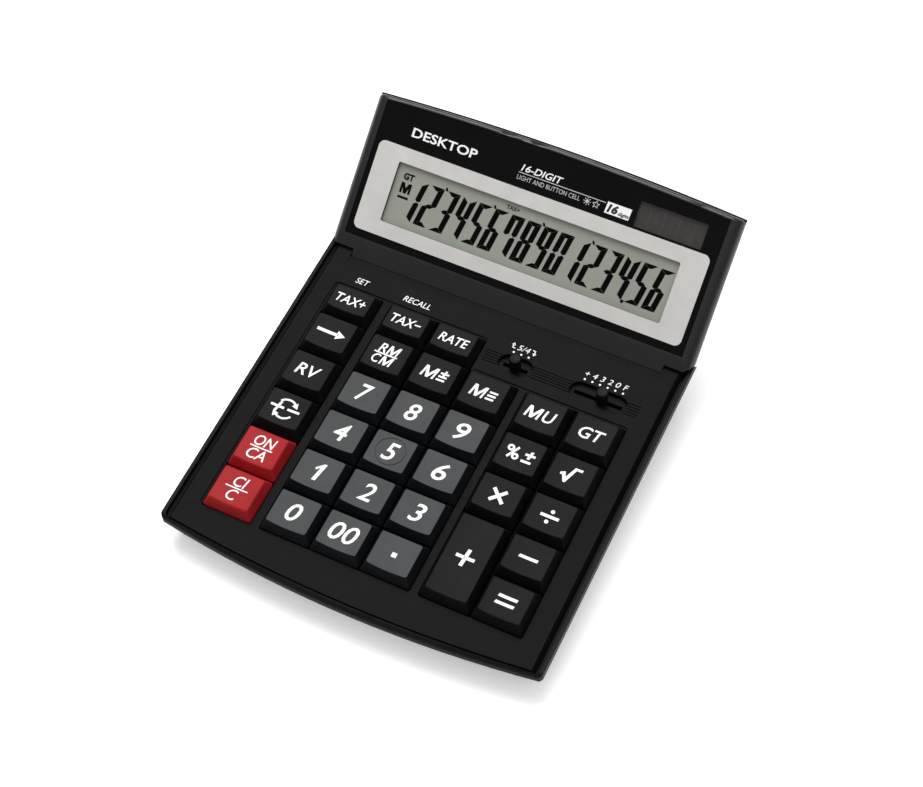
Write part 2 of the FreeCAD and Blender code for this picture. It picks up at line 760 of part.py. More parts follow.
def switch_window(name):
    return box(name, ["62", "11.5", "10"], (2.5, -size("switch_y") - 5, -14))


def make_guide_plate():
    top = -size("guide_top") - size("guide_thickness")
    plate = sheet_block("guide_block", top, "sizes.guide_thickness")
    holes = []
    for name, column, row, _ in KEYS:
        x, y = key_place(column, row, name)[:2]
        left = x - size("plunger_width") / 2 - 0.25
        front = y - size("plunger_depth") / 2 - 0.25
        holes.append(box(f"guide_hole_{name}",
                         ["sizes.plunger_width + 0.5", "sizes.plunger_depth + 0.5", "4"],
                         (left, front, top - 1)))
    tools = holes + [switch_window("guide_switch_window")] + screw_holes("guide_screw_hole", 1.0)
    finish(cut("guide_plate_body", plate, tools), "key_guide_plate", DECK_FRAME)


def make_dome_sheet():
    plate = sheet_block("dome_block", -size("board_top"), "sizes.board_top - sizes.dome_sheet_top")
    domes = []
    for name, column, row, _ in KEYS:
        x, y = key_place(column, row, name)[:2]
        dome = doc.addObject("Part::Cone", f"dome_{name}")
        dome.Radius1, dome.Radius2 = 4.2, 3.0
        bind(dome, Height="sizes.dome_sheet_top - sizes.dome_top")
        dome.Placement = shift(x, y, -size("dome_sheet_top"))
        domes.append(dome)
    tools = [switch_window("dome_switch_window")] + screw_holes("dome_screw_hole", 1.0)
    sheet_body = cut("dome_sheet_body", fuse("dome_solid", [plate] + domes), tools)
    finish(sheet_body, "rubber_dome_sheet", DECK_FRAME)


def make_key_board():
    bottom = -size("board_top") - size("board_thickness")
    board = sheet_block("board_block", bottom, "sizes.board_thickness")
    board_body = cut("key_board_body", board, screw_holes("board_screw_hole", 1.0))
    finish(board_body, "key_circuit_board", DECK_FRAME)
    chip = box("chip_block", ["14", "14", "1.6"], (2, -70, bottom - 1.6))
    finish(group("chip_body", [chip]), "calculator_chip", DECK_FRAME)


def make_switches():
    bodies = []
    y = -size("switch_y")
    for label, x, width, knob, *_ in SWITCHES:
        bodies.append(box(f"{label}_switch_block", [f"sizes.{width} + 1", "7", "2.6"],
                          (x - size(width) / 2 - 0.5, y - 3.5, -size("board_top"))))
        post = cylinder(f"{label}_post", "sizes.knob_radius", "sizes.knob_rise + sizes.slot_recess - 0.25",
                        shift(knob, y, -size("slot_recess") + 0.25))
        rounded = soften(f"{label}_post_round", post, size("knob_edge"),
                         lambda edge: edge.CenterOfMass.z > size("knob_rise") - 0.5)
        dimple = doc.addObject("Part::Sphere", f"{label}_dimple")
        dimple.Radius = 6
        dimple.Placement = shift(knob, y, size("knob_rise") + 5.8)
        neck = box(f"{label}_neck", ["sizes.neck_width", "sizes.neck_depth", "7"],
                   (knob - size("neck_width") / 2, y - size("neck_depth") / 2, -8.2))
        finish(fuse(f"{label}_knob_body", [cut(f"{label}_post_dimpled", rounded, [dimple]), neck]),
               f"{label}_switch_knob", DECK_FRAME)
    finish(group("switch_bodies_group", bodies), "slide_switch_bodies", DECK_FRAME)


# ---------------------------------------------------------------- fasteners, battery and feet

def make_case_fasteners():
    screws = [case_screw(f"case_screw_{number}", x, y, 0)
              for number, (x, y) in enumerate(case_screw_places())]
    finish(group("case_screws_group", screws), "case_screws", DECK_FRAME)
    small = []
    bottom = -size("board_top") - size("board_thickness")
    for number, (x, y) in enumerate(board_screw_places()):
        shaft = cylinder(f"board_screw_shaft_{number}", "sizes.board_screw_radius", str(-3.0 - bottom),
                         shift(x, y, bottom))
        head = cylinder(f"board_screw_head_{number}", "sizes.board_screw_radius + 0.8", "0.9",
                        shift(x, y, bottom - 0.9))
        small.append(fuse(f"board_screw_{number}", [shaft, head]))
    finish(group("board_screws_group", small), "board_screws", DECK_FRAME)


def make_feet():
    feet = []
    for number, (x, y) in enumerate(foot_places()):
        disc = cylinder(f"foot_disc_{number}", "sizes.foot_radius", "sizes.foot_height", shift(x, y, 0))
        feet.append(soften(f"foot_{number}", disc, 0.5, lambda edge: edge.CenterOfMass.z < 0.1))
    finish(group("feet_group", feet), "rubber_feet", FLOOR_FRAME)


def make_battery():
    fit = 0.2
    floor = size("floor_clearance")
    plate = box("door_plate",
                [f"sizes.door_width - {2 * fit}", f"sizes.door_depth - {2 * fit}", "sizes.floor_thickness"],
                (DOOR_LEFT + fit, DOOR_FRONT + fit, floor))
    slot = box("door_coin_slot", ["12", "1.8", "1"], (-36, -49.4, floor - 0.4))
    finish(cut("door_body", plate, [slot]), "battery_door", FLOOR_FRAME)
    middle = (DOOR_LEFT + size("door_width") / 2, DOOR_FRONT + size("door_depth") / 2)
    base = floor + size("floor_thickness") + 0.35
    cell = cylinder("cell_disc", "sizes.cell_radius", "sizes.cell_height", shift(*middle, base))
    rounded = soften("cell_round", cell, 0.4, lambda edge: True)
    finish(group("cell_group", [rounded]), "button_cell", FLOOR_FRAME)
    lower = box("contact_lower", ["6", "20", "0.3"], (middle[0] - 3, middle[1] - 10, base - 0.32))
    upper = box("contact_upper", ["8", "24", "0.3"],
                (middle[0] - 4, middle[1] - 8, base + size("cell_height") + 0.02))
    finish(group("contacts_group", [lower, upper]), "battery_contacts", FLOOR_FRAME)


# ---------------------------------------------------------------- hinge and wiring

def make_hinge():
    start = size("barrel_half_length") - 4.4
    length = 73.0 - start
    pins = []
    for side in (-1, 1):
        left = min(side * start, side * 73.0)
        pin = cylinder(f"pin_{side + 1}", "sizes.pin_radius", str(length), shift(left, 0, 0) * ALONG_X)
        if side < 0:
            bore = cylinder("pin_bore_room", "sizes.pin_bore", str(length), shift(left, 0, 0) * ALONG_X)
            side_hole = cylinder("pin_side_room", "sizes.pin_bore", "8",
                                 shift(-70.5, 0, 0) * turn((1, 0, 0), 90))
            pin = cut("pin_hollow", pin, [bore, side_hole])
        pins.append(pin)
    frame = DECK_FRAME * shift(0, 0, -size("hinge_depth"))
    finish(group("pins_group", pins), "hinge_pins", frame)
    radius = "sizes.pin_bore - 0.25"
    inner = cylinder("wire_in_pin", radius, "10.3", shift(-70.5, 0, 0) * ALONG_X)
    ahead = cylinder("wire_in_ear", radius, "14", shift(-70.5, 0, 0) * turn((1, 0, 0), 90))
    ball = doc.addObject("Part::Sphere", "wire_corner")
    bind(ball, Radius=radius)
    ball.Placement = shift(-70.5, 0, 0)
    finish(fuse("case_wires_body", [inner, ahead, ball]), "display_wires_in_case", frame)
    outer = cylinder("wire_in_barrel", radius, "29.9", shift(-60.1, 0, 0) * ALONG_X)
    climb = cylinder("wire_to_board", radius, str(head_board_y()),
                     shift(-30.2, 0, 0) * turn((1, 0, 0), -90))
    bend = doc.addObject("Part::Sphere", "head_wire_corner")
    bind(bend, Radius=radius)
    bend.Placement = shift(-30.2, 0, 0)
    finish(fuse("head_wires_body", [outer, climb, bend]), "display_wires_in_head", HEAD_FRAME)


# ---------------------------------------------------------------- display head

BACK_SLOPE = (size("barrel_radius") - size("head_back_at_top")) / size("head_length")


def head_screw_places():
    return [(side * 68.5, y) for side in (-1, 1) for y in (14.0, 58.0)]


def head_section(name, inset):
    """The head's width seen from the end: upright sides in front of the split, tapered behind it."""
    half = size("case_half_width") - inset
    split = size("head_split")
    narrow = half - (split + 20) * math.tan(math.radians(size("back_taper")))
    return prism(name, FRONT_VIEW, outline([
        (-half, 20, 0), (half, 20, 0), (half, split, 0),
        (narrow, -20, 0), (-narrow, -20, 0), (-half, split, 0),
    ]), str(REACH / 2), str(REACH / 2))


def head_outside(name, length):
    """The closed head up to a given length, with clearance for the ears cut out."""
    barrel, face, ridge = size("barrel_radius"), size("face_height"), size("ridge_y")
    far = length + 2
    reach = math.hypot(ridge, face)
    angle = math.atan2(face, ridge) + math.acos(barrel / reach)
    profile = prism(name + "_profile", SIDE_VIEW, outline([
        (barrel * math.cos(angle), barrel * math.sin(angle), 0),
        (ridge, face, 0),
        (far, face, 0),
        (far, -barrel + BACK_SLOPE * far, 0),
        (0, -barrel, 0),
        (0, 0, 0),
    ]), str(REACH / 2), str(REACH / 2))
    round_barrel = cylinder(name + "_barrel", "sizes.barrel_radius", str(REACH),
                            shift(-REACH / 2, 0, 0) * ALONG_X)
    plan = prism(name + "_plan", PLAN_VIEW,
                 bowed_outline(size("case_half_width") + 5, length, -12, size("head_arc_radius")), "20", "20")
    half = size("barrel_half_length")
    radius = size("hinge_depth") + size("lug_clearance")
    side_rooms = [
        cylinder(f"{name}_lug_room_{number}", str(radius), "30", shift(left, 0, 0) * ALONG_X)
        for number, left in enumerate((-half - 30, half))
    ]
    blank = common(name + "_blank",
                   [fuse(name + "_mass", [profile, round_barrel]), plan, head_section(name + "_section", 0)])
    return cut(name + "_cleared", blank, side_rooms)


def long_edge(edge, low, high):
    """A long straight edge near one side of the head, between two levels."""
    middle = edge.CenterOfMass
    return abs(middle.x) > 70 and edge.BoundBox.YLength > 30 and low < middle.z < high


def head_inside():
    """Everything taken out of the head: its cavity, the barrel's bores and the screw holes."""
    wall = size("head_wall")
    far = size("head_length") - wall
    near = 10.0
    cavity_top = size("face_height") - size("panel_recess") - size("panel_thickness") - 1.0
    cavity_side = prism("head_cavity_side", SIDE_VIEW, outline([
        (near, cavity_top, 0),
        (far + 5, cavity_top, 0),
        (far + 5, -size("barrel_radius") + BACK_SLOPE * (far + 5) + wall, 0),
        (near, -size("barrel_radius") + BACK_SLOPE * near + wall, 0),
    ]), str(REACH / 2), str(REACH / 2))
    cavity_plan = prism("head_cavity_plan", PLAN_VIEW,
                        bowed_outline(size("case_half_width"), far, 0, size("head_arc_radius")), "20", "20")
    cavity = common("head_cavity", [cavity_side, cavity_plan, head_section("head_cavity_section", 2.3)])
    posts = group("head_post_group", [
        cylinder(f"head_post_{number}", "2.8", "30", shift(x, y, -15))
        for number, (x, y) in enumerate(head_screw_places())
    ])
    barrel_half = size("barrel_half_length") - 4.4
    tools = [
        cut("head_room", cavity, [posts]),
        cylinder("head_barrel_room", "5.2", str(2 * barrel_half), shift(-barrel_half, 0, 0) * ALONG_X),
        box("head_wire_passage", ["8", "12", "4.4"], (-34.2, 2, -2.2)),
        cylinder("head_pin_bore", "sizes.pin_radius + sizes.pin_fit", str(REACH),
                 shift(-REACH / 2, 0, 0) * ALONG_X),
    ]
    for number, (x, y) in enumerate(head_screw_places()):
        tools.append(head_screw(f"head_screw_room_{number}", x, y, 0.1))
    return tools + panel_rooms()


def make_head_shells():
    split = size("head_split")
    tools = head_inside()
    front = head_outside("bezel_outside", size("head_length"))
    front_sides = soften("bezel_side_round", front, size("side_round"), lambda edge: long_edge(edge, 5, 20))
    front_round = soften("bezel_top_round", front_sides, size("top_round"),
                         lambda edge: edge.CenterOfMass.y > 60
                         and edge.CenterOfMass.z > size("face_height") - 0.01)
    back = head_outside("rear_outside", size("head_length") + size("rear_reach"))
    back_round = soften("rear_side_round", back, size("back_round"), lambda edge: long_edge(edge, -8, 1.5))
    upper = box("head_upper_half", [str(REACH), str(REACH), "40"], (-REACH / 2, -REACH / 2, split))
    lower = box("head_lower_half", [str(REACH), str(REACH), "40"], (-REACH / 2, -REACH / 2, split - 40))
    bezel = cut("front_bezel_body", common("bezel_half", [front_round, upper]), tools)
    finish(bezel, "head_front_bezel", HEAD_FRAME)
    shell = cut("rear_shell_body", common("rear_half", [back_round, lower]), tools)
    finish(shell, "head_rear_shell", HEAD_FRAME)


def head_screw(name, x, y, gap):
    bottom = -size("barrel_radius") + BACK_SLOPE * y + 1.0
    shaft = cylinder(name + "_shaft", str(size("screw_radius") + gap / 2), str(4.6 - bottom),
                     shift(x, y, bottom))
    head = cylinder(name + "_head", str(size("screw_head_radius") + gap),
                    str(size("screw_head_height") + gap), shift(x, y, bottom - 0.6))
    pocket = cylinder(name + "_pocket", str(size("screw_head_radius") + gap), "5", shift(x, y, bottom - 5.5))
    return fuse(name, [shaft, head] + ([pocket] if gap else []))


def panel_plan(name, gap, low, high):
    """The panel's outline between two levels of the head frame."""
    half = size("panel_half_width") - gap
    bottom = size("ridge_y") + 0.75 + gap
    top = size("head_length") - size("panel_inset") - gap
    plate = prism(name, PLAN_VIEW, bowed_outline(half, top, bottom, size("head_arc_radius")),
                  str(high - low))
    plate.Base.Placement = shift(0, 0, low)
    return plate


def window_box(name, width, depth, x, y, grow, low, high):
    return box(name, [f"{width} + {2 * grow}", f"{depth} + {2 * grow}", str(high - low)],
               (x - grow, y - grow, low))


def lcd_corner():
    return -size("window_width") / 2, size("window_y")


def head_board_y():
    """Lower edge of the display's circuit board, where the wires end."""
    return size("window_y") - size("lcd_margin") - 0.5


def solar_corner():
    return size("solar_x") - size("solar_width") / 2, size("solar_y")


def panel_rooms():
    """Recess for the panel and the openings behind it for the display glass and solar cell."""
    face = size("face_height")
    low = face - size("panel_recess") - size("panel_thickness")
    margin = size("lcd_margin") + 0.1
    return [
        panel_plan("bezel_panel_room", 0, low, face + 5),
        window_box("bezel_lcd_room", "sizes.window_width", "sizes.window_depth", *lcd_corner(),
                   margin, 0, low + 1),
        window_box("bezel_solar_room", "sizes.solar_width", "sizes.solar_depth", *solar_corner(),
                   1.1, 0, low + 1),
    ]


def make_display():
    face = size("face_height")
    panel_top = face - size("panel_recess")
    panel_low = panel_top - size("panel_thickness")
    plate = panel_plan("panel_plate", 0.1, panel_low, panel_top)
    lcd_x, lcd_y = lcd_corner()
    solar_x, solar_y = solar_corner()
    lcd_hole = window_box("panel_lcd_hole", "sizes.window_width", "sizes.window_depth",
                          lcd_x, lcd_y, 0, 0, 20)
    solar_hole = window_box("panel_solar_hole", "sizes.solar_width", "sizes.solar_depth",
                            solar_x, solar_y, 0, 0, 20)
    finish(cut("panel_body", plate, [lcd_hole, solar_hole]), "display_panel", HEAD_FRAME)
    half, low_y = size("trim_width") / 2, size("trim_y")
    high_y = low_y + size("trim_depth")
    trim = prism("trim_plate", PLAN_VIEW, outline([
        (-half, low_y, 2.6), (half, low_y, 2.6), (half, high_y, 2.6), (-half, high_y, 2.6),
    ]), "sizes.trim_thickness")
    trim.Base.Placement = shift(0, 0, panel_top)
    trim_hole = window_box("trim_hole", "sizes.window_width", "sizes.window_depth",
                           lcd_x, lcd_y, 0, 0, 20)
    trim_round = soften("trim_hole_round", trim_hole, 0.8, upright_edge)
    finish(cut("trim_body", trim, [trim_round]), "display_trim", HEAD_FRAME)
    margin = size("lcd_margin")
    glass_low = panel_low - size("lcd_thickness")
    glass = window_box("lcd_block", "sizes.window_width", "sizes.window_depth", lcd_x, lcd_y,
                       margin, glass_low, panel_low)
    finish(group("lcd_group", [glass]), "lcd_glass", HEAD_FRAME)
    cell = window_box("solar_block", "sizes.solar_width", "sizes.solar_depth", solar_x, solar_y,
                      1.0, panel_low - 1.1, panel_low)
    finish(group("solar_group", [cell]), "solar_cell", HEAD_FRAME)
    strip_low = glass_low - 2.0
    strips = [
        box(f"zebra_{number}", ["sizes.window_width", "1.8", "2.0"], (lcd_x, y, strip_low))
        for number, y in enumerate((lcd_y - margin + 0.2, lcd_y + size("window_depth") + margin - 2.0))
    ]
    finish(group("zebra_group", strips), "zebra_connectors", HEAD_FRAME)
    board = box("head_board_block", ["126", "30", "sizes.board_thickness"],
                (-63, head_board_y(), strip_low - size("board_thickness")))
    finish(group("head_board_group", [board]), "head_circuit_board", HEAD_FRAME)
    screws = [head_screw(f"head_screw_{number}", x, y, 0)
              for number, (x, y) in enumerate(head_screw_places())]
    finish(group("head_screws_group", screws), "head_screws", HEAD_FRAME)


# ---------------------------------------------------------------- build, check and write

make_bottom_case()
make_top_cover()
make_guide_plate()
make_dome_sheet()
make_key_board()
make_switches()
make_case_fasteners()
make_feet()
make_battery()
make_hinge()
make_head_shells()
make_display()
for key_name, key_column, key_row, key_kind in KEYS:
    make_key(key_name, key_column, key_row, key_kind)
doc.recompute()

for item in doc.Objects:
    if "Invalid" in item.State or "Error" in item.State:
        raise RuntimeError(f"{item.Name} did not build: {item.State}")
for node in nodes:
    if node.Shape.isNull() or not node.Shape.isValid() or not node.Shape.Solids:
        raise RuntimeError(f"{node.Label} has no valid solid")

os.makedirs("parts", exist_ok=True)
whole = Part.makeCompound([node.Shape for node in nodes])
print("nodes", len(nodes), "box", whole.BoundBox)
for node in nodes:
    node.Shape.exportStep(os.path.join("parts", node.Label + ".step"))
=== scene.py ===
import json
import math

import bmesh
import bpy
from mathutils import Matrix, Vector
from mathutils.bvhtree import BVHTree


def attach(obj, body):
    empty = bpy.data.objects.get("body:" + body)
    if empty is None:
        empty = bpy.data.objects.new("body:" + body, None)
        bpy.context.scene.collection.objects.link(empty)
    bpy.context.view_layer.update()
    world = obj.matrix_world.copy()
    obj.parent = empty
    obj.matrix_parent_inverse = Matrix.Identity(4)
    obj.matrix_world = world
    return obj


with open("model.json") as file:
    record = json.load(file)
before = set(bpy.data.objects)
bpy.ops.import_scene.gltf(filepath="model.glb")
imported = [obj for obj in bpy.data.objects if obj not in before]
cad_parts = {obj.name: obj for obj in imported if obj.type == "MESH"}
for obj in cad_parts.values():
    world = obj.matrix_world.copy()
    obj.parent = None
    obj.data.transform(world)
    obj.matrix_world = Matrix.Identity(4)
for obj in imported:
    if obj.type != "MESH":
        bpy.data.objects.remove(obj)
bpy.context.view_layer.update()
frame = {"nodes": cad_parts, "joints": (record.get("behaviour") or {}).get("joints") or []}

# A desk calculator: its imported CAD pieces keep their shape, and this script gives them their
# finishes, prints the legends and the display on them, and sets up the floor, lights and camera.
# Artwork is drawn in millimetres in the plane of the surface that it lies on.

MM = 0.001
NODES = frame["nodes"]
SCENE = bpy.context.scene
SCENE.view_settings.view_transform = "Standard"

# How far printed skins stand out of their surface and reach into it, and the widest strip that may
# lie on a curved one.
INK_RISE = 0.03
INK_SINK = 0.03
STRIP = 0.8
# Height from which rays look down on a surface.
ABOVE = 100
# Shear and thickening of the lettering, in heights of a letter.
ITALIC = 0.2
BOLD = 0.010
ROUND_SIDES = 24
ARC_SIDES = 14


# ---------------------------------------------------------------- finishes

def noise(tree, place, grain, detail=2.0):
    """Noise whose features are about `grain` millimetres across."""
    texture = tree.nodes.new("ShaderNodeTexNoise")
    texture.inputs["Scale"].default_value = 1 / (grain * MM)
    texture.inputs["Detail"].default_value = detail
    tree.links.new(place.outputs["Object"], texture.inputs["Vector"])
    return texture.outputs["Fac"]


def spread(tree, factor, low, high):
    """A value that runs from low to high with the middle part of a noise."""
    stretch = tree.nodes.new("ShaderNodeMapRange")
    stretch.inputs["From Min"].default_value = 0.3
    stretch.inputs["From Max"].default_value = 0.7
    stretch.inputs["To Min"].default_value = low
    stretch.inputs["To Max"].default_value = high
    tree.links.new(factor, stretch.inputs["Value"])
    return stretch.outputs["Result"]


def blended(tree, factor, first, second):
    """A colour between two colours."""
    mix = tree.nodes.new("ShaderNodeMix")
    mix.data_type = "RGBA"
    tree.links.new(factor, mix.inputs["Factor"])
    for socket, colour in (("A", first), ("B", second)):
        slot = next(s for s in mix.inputs if s.name == socket and s.type == "RGBA")
        if isinstance(colour, tuple):
            slot.default_value = (*colour, 1.0)
        else:
            tree.links.new(colour, slot)
    return next(s for s in mix.outputs if s.type == "RGBA")


def facing(tree, normal, low, high):
    """0 on faces turned away from a direction, 1 on those that look along it."""
    geometry = tree.nodes.new("ShaderNodeNewGeometry")
    dot = tree.nodes.new("ShaderNodeVectorMath")
    dot.operation = "DOT_PRODUCT"
    dot.inputs[1].default_value = normal
    tree.links.new(geometry.outputs["Normal"], dot.inputs[0])
    stretch = tree.nodes.new("ShaderNodeMapRange")
    stretch.inputs["From Min"].default_value = low
    stretch.inputs["From Max"].default_value = high
    tree.links.new(dot.outputs["Value"], stretch.inputs["Value"])
    return stretch.outputs["Result"]


def finish(name, dark, light, rough, grain=0.3, relief=0.01, blotch=9.0, sides=None, **values):
    """A procedural finish: colour that drifts over `blotch` mm, fine grain in gloss and relief.

    With `sides`, the flanks of a key have that colour and only its top has the others.
    """
    material = bpy.data.materials.new(name)
    material.use_nodes = True
    tree = material.node_tree
    shader = tree.nodes["Principled BSDF"]
    place = tree.nodes.new("ShaderNodeTexCoord")
    drift = spread(tree, noise(tree, place, blotch, detail=3.0), 0.0, 1.0)
    grains = noise(tree, place, grain)
    colour = blended(tree, drift, dark, light)
    if sides is not None:
        upward = facing(tree, joint("key_5_press")["axis"], low=0.78, high=0.93)
        colour = blended(tree, upward, sides, colour)
    tree.links.new(colour, shader.inputs["Base Color"])
    tree.links.new(spread(tree, grains, *rough), shader.inputs["Roughness"])
    bump = tree.nodes.new("ShaderNodeBump")
    bump.inputs["Strength"].default_value = 1.0
    bump.inputs["Distance"].default_value = relief * MM
    tree.links.new(grains, bump.inputs["Height"])
    tree.links.new(bump.outputs["Normal"], shader.inputs["Normal"])
    for socket, value in values.items():
        shader.inputs[socket.replace("_", " ")].default_value = value
    return material


def grey(level, warmth=0.0):
    """A grey, warmer with positive warmth and cooler with negative."""
    return (level * (1 + warmth), level, level * (1 - warmth))


def all_finishes():
    """Every finish by its name: two colours, the range of its roughness, and what else it needs."""
    soft = {"Specular_IOR_Level": 0.08}
    dull = {"Specular_IOR_Level": 0.05}
    satin = {"relief": 0.007}
    metal = {"Metallic": 1.0}
    looks = {
        "case_plastic": (grey(0.0045), grey(0.0065), (0.42, 0.56), soft),
        "cover_plastic": (grey(0.0036), grey(0.0052), (0.44, 0.60), dull),
        "head_plastic": (grey(0.007), grey(0.009), (0.28, 0.38), {"Specular_IOR_Level": 0.4}),
        "inner_plastic": (grey(0.006), grey(0.009), (0.5, 0.65), {}),
        "number_key_plastic": (
            grey(0.054, -0.03), grey(0.062, -0.03), (0.42, 0.55),
            {"sides": grey(0.008, -0.14), **satin, **soft}
        ),
        "function_key_plastic": (
            grey(0.0080), grey(0.0102), (0.40, 0.54), {"sides": grey(0.005), **satin, **dull}
        ),
        "clear_key_plastic": (
            (0.29, 0.012, 0.015), (0.34, 0.016, 0.019), (0.40, 0.52), {**satin, **soft}
        ),
        "knob_plastic": (grey(0.0045), grey(0.0065), (0.36, 0.48), {"grain": 0.2, **soft}),
        "panel_gloss": (
            grey(0.0020), grey(0.0028), (0.06, 0.11),
            {"grain": 0.8, "relief": 0.0006, "blotch": 25.0, "Specular_IOR_Level": 0.07}
        ),
        "trim_aluminium": (
            grey(0.50, 0.03), grey(0.55, 0.03), (0.38, 0.5), {"grain": 0.12, "relief": 0.003}
        ),
        "lcd": (
            (0.262, 0.273, 0.232), (0.282, 0.294, 0.250), (0.30, 0.42),
            {"grain": 0.1, "relief": 0.002, "blotch": 30.0, "Specular_IOR_Level": 0.2,
             "Coat_Weight": 0.25, "Coat_Roughness": 0.06}
        ),
        "solar": (
            (0.034, 0.028, 0.029), (0.044, 0.037, 0.037), (0.25, 0.4),
            {"grain": 0.2, "relief": 0.002, "blotch": 3.0, "Specular_IOR_Level": 0.2,
             "Coat_Weight": 0.2, "Coat_Roughness": 0.08}
        ),
        "foot_rubber": (grey(0.016), grey(0.024), (0.75, 0.9), {"grain": 0.25, "relief": 0.03}),
        "dome_rubber": (grey(0.30, 0.03), grey(0.36, 0.03), (0.6, 0.75), {"relief": 0.02}),
        "board": ((0.02, 0.10, 0.045), (0.03, 0.13, 0.06), (0.35, 0.5), {"blotch": 2.0}),
        "chip": (grey(0.012), grey(0.018), (0.45, 0.6), {"grain": 0.15}),
        "screw_steel": (grey(0.42), grey(0.55), (0.28, 0.42), {"blotch": 1.0, **metal}),
        "pin_steel": (grey(0.45), grey(0.58), (0.22, 0.36), {"blotch": 1.0, **metal}),
        "cell_steel": (grey(0.60, 0.01), grey(0.70), (0.2, 0.32), {"blotch": 2.0, **metal}),
        "contact_brass": (
            (0.62, 0.42, 0.16), (0.72, 0.50, 0.20), (0.25, 0.4), {"blotch": 1.5, **metal}
        ),
        "wire": ((0.24, 0.02, 0.02), (0.30, 0.03, 0.02), (0.4, 0.55), {"blotch": 2.0}),
        "white_ink": (grey(0.78), grey(0.86), (0.45, 0.6), {"grain": 0.15, "relief": 0.004}),
        "silver_ink": (grey(0.42), grey(0.50), (0.35, 0.5), {"grain": 0.1, "relief": 0.003}),
        "black_ink": (grey(0.006), grey(0.010), (0.35, 0.5), {"grain": 0.15, "relief": 0.003}),
        "lcd_black": (
            grey(0.002), grey(0.003), (0.3, 0.42),
            {"grain": 0.1, "relief": 0.002, "Specular_IOR_Level": 0.02}
        ),
        "cell_gap": (
            grey(0.060, 0.02), grey(0.075, 0.02), (0.35, 0.5), {"relief": 0.002, **soft}
        ),
    }
    return {
        name: finish(name, dark, light, rough, **more)
        for name, (dark, light, rough, more) in looks.items()
    }


# ---------------------------------------------------------------- where surfaces lie

def plane(origin, normal):
    """Millimetres in a plane that runs along X, with its third axis along the normal, to metres."""
    up = Vector(normal).normalized()
    across = Vector((1, 0, 0))
    turned = Matrix((across, up.cross(across), up)).transposed().to_4x4()
    return Matrix.Translation(Vector(origin)) @ turned @ Matrix.Scale(MM, 4)


def joint(name):
    return next(j for j in frame["joints"] if j["name"] == name)


def top_normal(node):
    """The direction that a plate's highest face looks in."""
    return max((face.normal for face in NODES[node].data.polygons), key=lambda n: n.z).copy()


HINGE = joint("head_tilt")["pos_m"]
DECK = plane(HINGE, joint("key_5_press")["axis"])
HEAD = plane(HINGE, top_normal("lcd_glass"))


def extent(node, place):
    """Lowest and highest corner of a node in a plane's millimetres."""
    back = place.inverted()
    points = [back @ v.co for v in NODES[node].data.vertices]
    low = Vector(min(p[i] for p in points) for i in range(3))
    high = Vector(max(p[i] for p in points) for i in range(3))
    return low, high


def on_node(node, place):
    """The plane moved so that its origin is over the middle of a node."""
    low, high = extent(node, place)
    middle = (low + high) / 2
    return place @ Matrix.Translation((middle.x, middle.y, 0))


def surface(node, place):
    """A node's faces in a plane's millimetres, for finding heights."""
    back = place.inverted()
    mesh = NODES[node].data
    corners = [back @ v.co for v in mesh.vertices]
    return BVHTree.FromPolygons(corners, [face.vertices for face in mesh.polygons])


# ---------------------------------------------------------------- artwork

def slanted(points, slant, base=0.0):
    return [(x + slant * (y - base), y) for x, y in points]


def add_shape(art, points):
    """A flat closed shape, as a slab between z = -1 and z = 1."""
    lower = [art.verts.new((x, y, -1)) for x, y in points]
    upper = [art.verts.new((x, y, 1)) for x, y in points]
    art.faces.new(lower[::-1])
    art.faces.new(upper)
    for index, corner in enumerate(lower):
        after = (index + 1) % len(points)
        art.faces.new((corner, lower[after], upper[after], upper[index]))


def add_band(art, outer, inner):
    """A closed line whose outer and inner corners go round in step."""
    for index in range(len(outer)):
        after = (index + 1) % len(outer)
        add_shape(art, [outer[index], outer[after], inner[after], inner[index]])


def round_turn(x, y, radius):
    turns = [2 * math.pi * i / ROUND_SIDES for i in range(ROUND_SIDES)]
    return [(x + radius * math.cos(a), y + radius * math.sin(a)) for a in turns]


def add_bar(art, x, y, width, height, slant=0.0):
    """An upright or lying bar about (x, y)."""
    w, h = width / 2, height / 2
    corners = [(x - w, y - h), (x + w, y - h), (x + w, y + h), (x - w, y + h)]
    add_shape(art, slanted(corners, slant, y))


def add_disc(art, x, y, radius):
    add_shape(art, round_turn(x, y, radius))


def add_ring(art, x, y, radius, width):
    add_band(art, round_turn(x, y, radius + width / 2), round_turn(x, y, radius - width / 2))


def add_stroke(art, start, end, width):
    """A straight stroke with square ends."""
    start, end = Vector(start), Vector(end)
    side = (end - start).normalized().orthogonal() * width / 2
    add_shape(art, [tuple(p) for p in (start - side, end - side, end + side, start + side)])


def add_arc(art, x, y, radius, first, last, width):
    """A curved stroke between two angles in degrees."""
    turns = [math.radians(first + (last - first) * i / ARC_SIDES) for i in range(ARC_SIDES + 1)]
    outer, inner = (
        [(x + reach * math.cos(a), y + reach * math.sin(a)) for a in turns]
        for reach in (radius + width / 2, radius - width / 2)
    )
    add_shape(art, outer + inner[::-1])


def add_arrowhead(art, x, y, degrees, length, width):
    """A triangle whose point is at (x, y) and looks along the angle."""
    ahead = Vector((math.cos(math.radians(degrees)), math.sin(math.radians(degrees))))
    side = Vector((-ahead.y, ahead.x)) * width / 2
    tip = Vector((x, y))
    foot = tip - ahead * length
    add_shape(art, [tuple(p) for p in (tip, foot + side, foot - side)])


